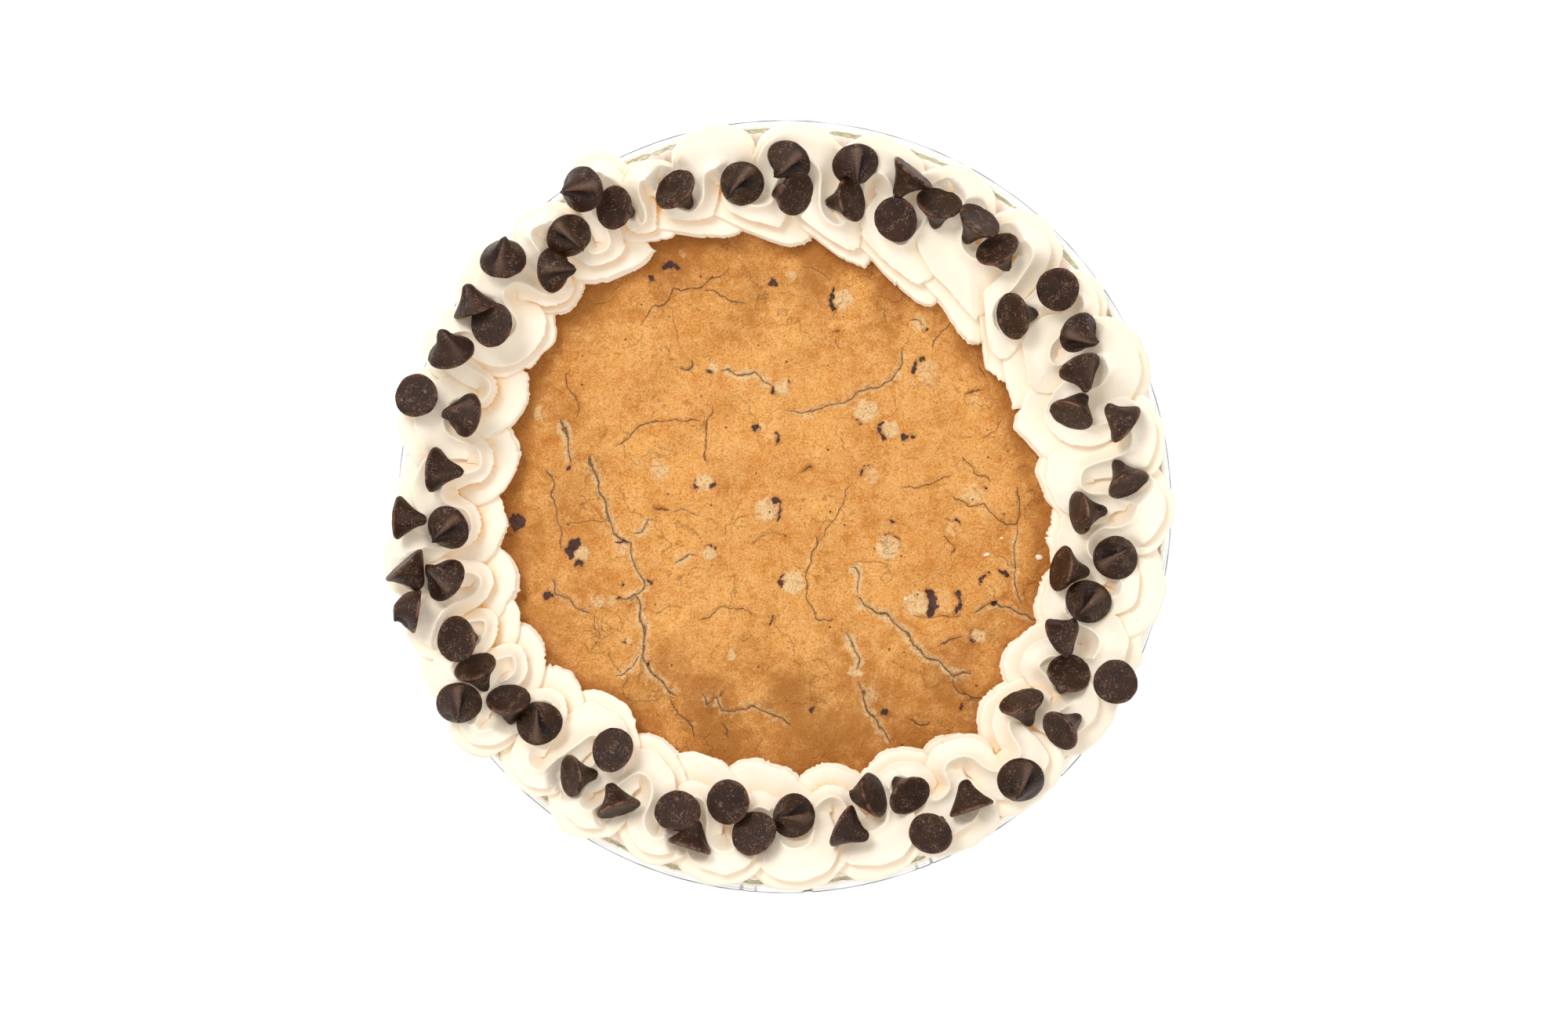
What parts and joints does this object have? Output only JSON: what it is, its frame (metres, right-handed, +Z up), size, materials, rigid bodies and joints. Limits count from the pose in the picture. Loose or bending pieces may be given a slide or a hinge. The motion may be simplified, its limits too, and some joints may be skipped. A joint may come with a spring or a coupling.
{
  "type": "cookie cake",
  "caption": "Round chocolate chip cookie cake in a foil pie pan, with a zigzag border of piped cream icing set with large dark baking chips.",
  "frame": {"origin": "centre of the pan's flat base, on the surface it stands on", "axes": "+Z up along the pan's axis, +Y towards the top of the picture, +X towards its right"},
  "size_m": [0.2276, 0.222, 0.0516],
  "materials": {
    "foil": "thin bright aluminium foil, finely pleated up the wall",
    "baked_cookie": "golden brown baked dough, cracked and speckled",
    "icing": "smooth ivory buttercream, soft sheen",
    "dark_chocolate": "dark chocolate with a fine pale speckle, satin"
  },
  "bodies": {
    "root": {"chip_01": "dark_chocolate", "chip_02": "dark_chocolate", "chip_05": "dark_chocolate", "chip_08": "dark_chocolate", "chip_09": "dark_chocolate", "chip_10": "dark_chocolate", "chip_11": "dark_chocolate", "chip_12": "dark_chocolate", "chip_13": "dark_chocolate", "chip_14": "dark_chocolate", "chip_15": "dark_chocolate", "chip_16": "dark_chocolate", "chip_17": "dark_chocolate", "chip_18": "dark_chocolate", "chip_19": "dark_chocolate", "chip_20": "dark_chocolate", "chip_21": "dark_chocolate", "chip_22": "dark_chocolate", "chip_23": "dark_chocolate", "chip_24": "dark_chocolate", "chip_27": "dark_chocolate", "chip_28": "dark_chocolate", "chip_29": "dark_chocolate", "chip_30": "dark_chocolate", "chip_31": "dark_chocolate", "chip_32": "dark_chocolate", "chip_33": "dark_chocolate", "chip_34": "dark_chocolate", "chip_35": "dark_chocolate", "chip_36": "dark_chocolate", "chip_37": "dark_chocolate", "chip_38": "dark_chocolate", "chip_39": "dark_chocolate", "chip_40": "dark_chocolate", "chip_41": "dark_chocolate", "chip_42": "dark_chocolate", "chip_43": "dark_chocolate", "chip_44": "dark_chocolate", "chip_45": "dark_chocolate", "chip_46": "dark_chocolate", "chip_47": "dark_chocolate", "chip_48": "dark_chocolate", "chip_49": "dark_chocolate", "chip_50": "dark_chocolate", "chip_51": "dark_chocolate", "chip_52": "dark_chocolate", "chip_53": "dark_chocolate", "chip_54": "dark_chocolate", "chip_55": "dark_chocolate", "chip_56": "dark_chocolate", "chip_61": "dark_chocolate", "chip_62": "dark_chocolate", "chips_03_04": "dark_chocolate", "chips_06_07": "dark_chocolate", "chips_25_26": "dark_chocolate", "chips_57_58": "dark_chocolate", "chips_59_60": "dark_chocolate", "cookie": "baked_cookie", "foil_pan": "foil", "icing_border": "icing"}
  },
  "joints": []
}
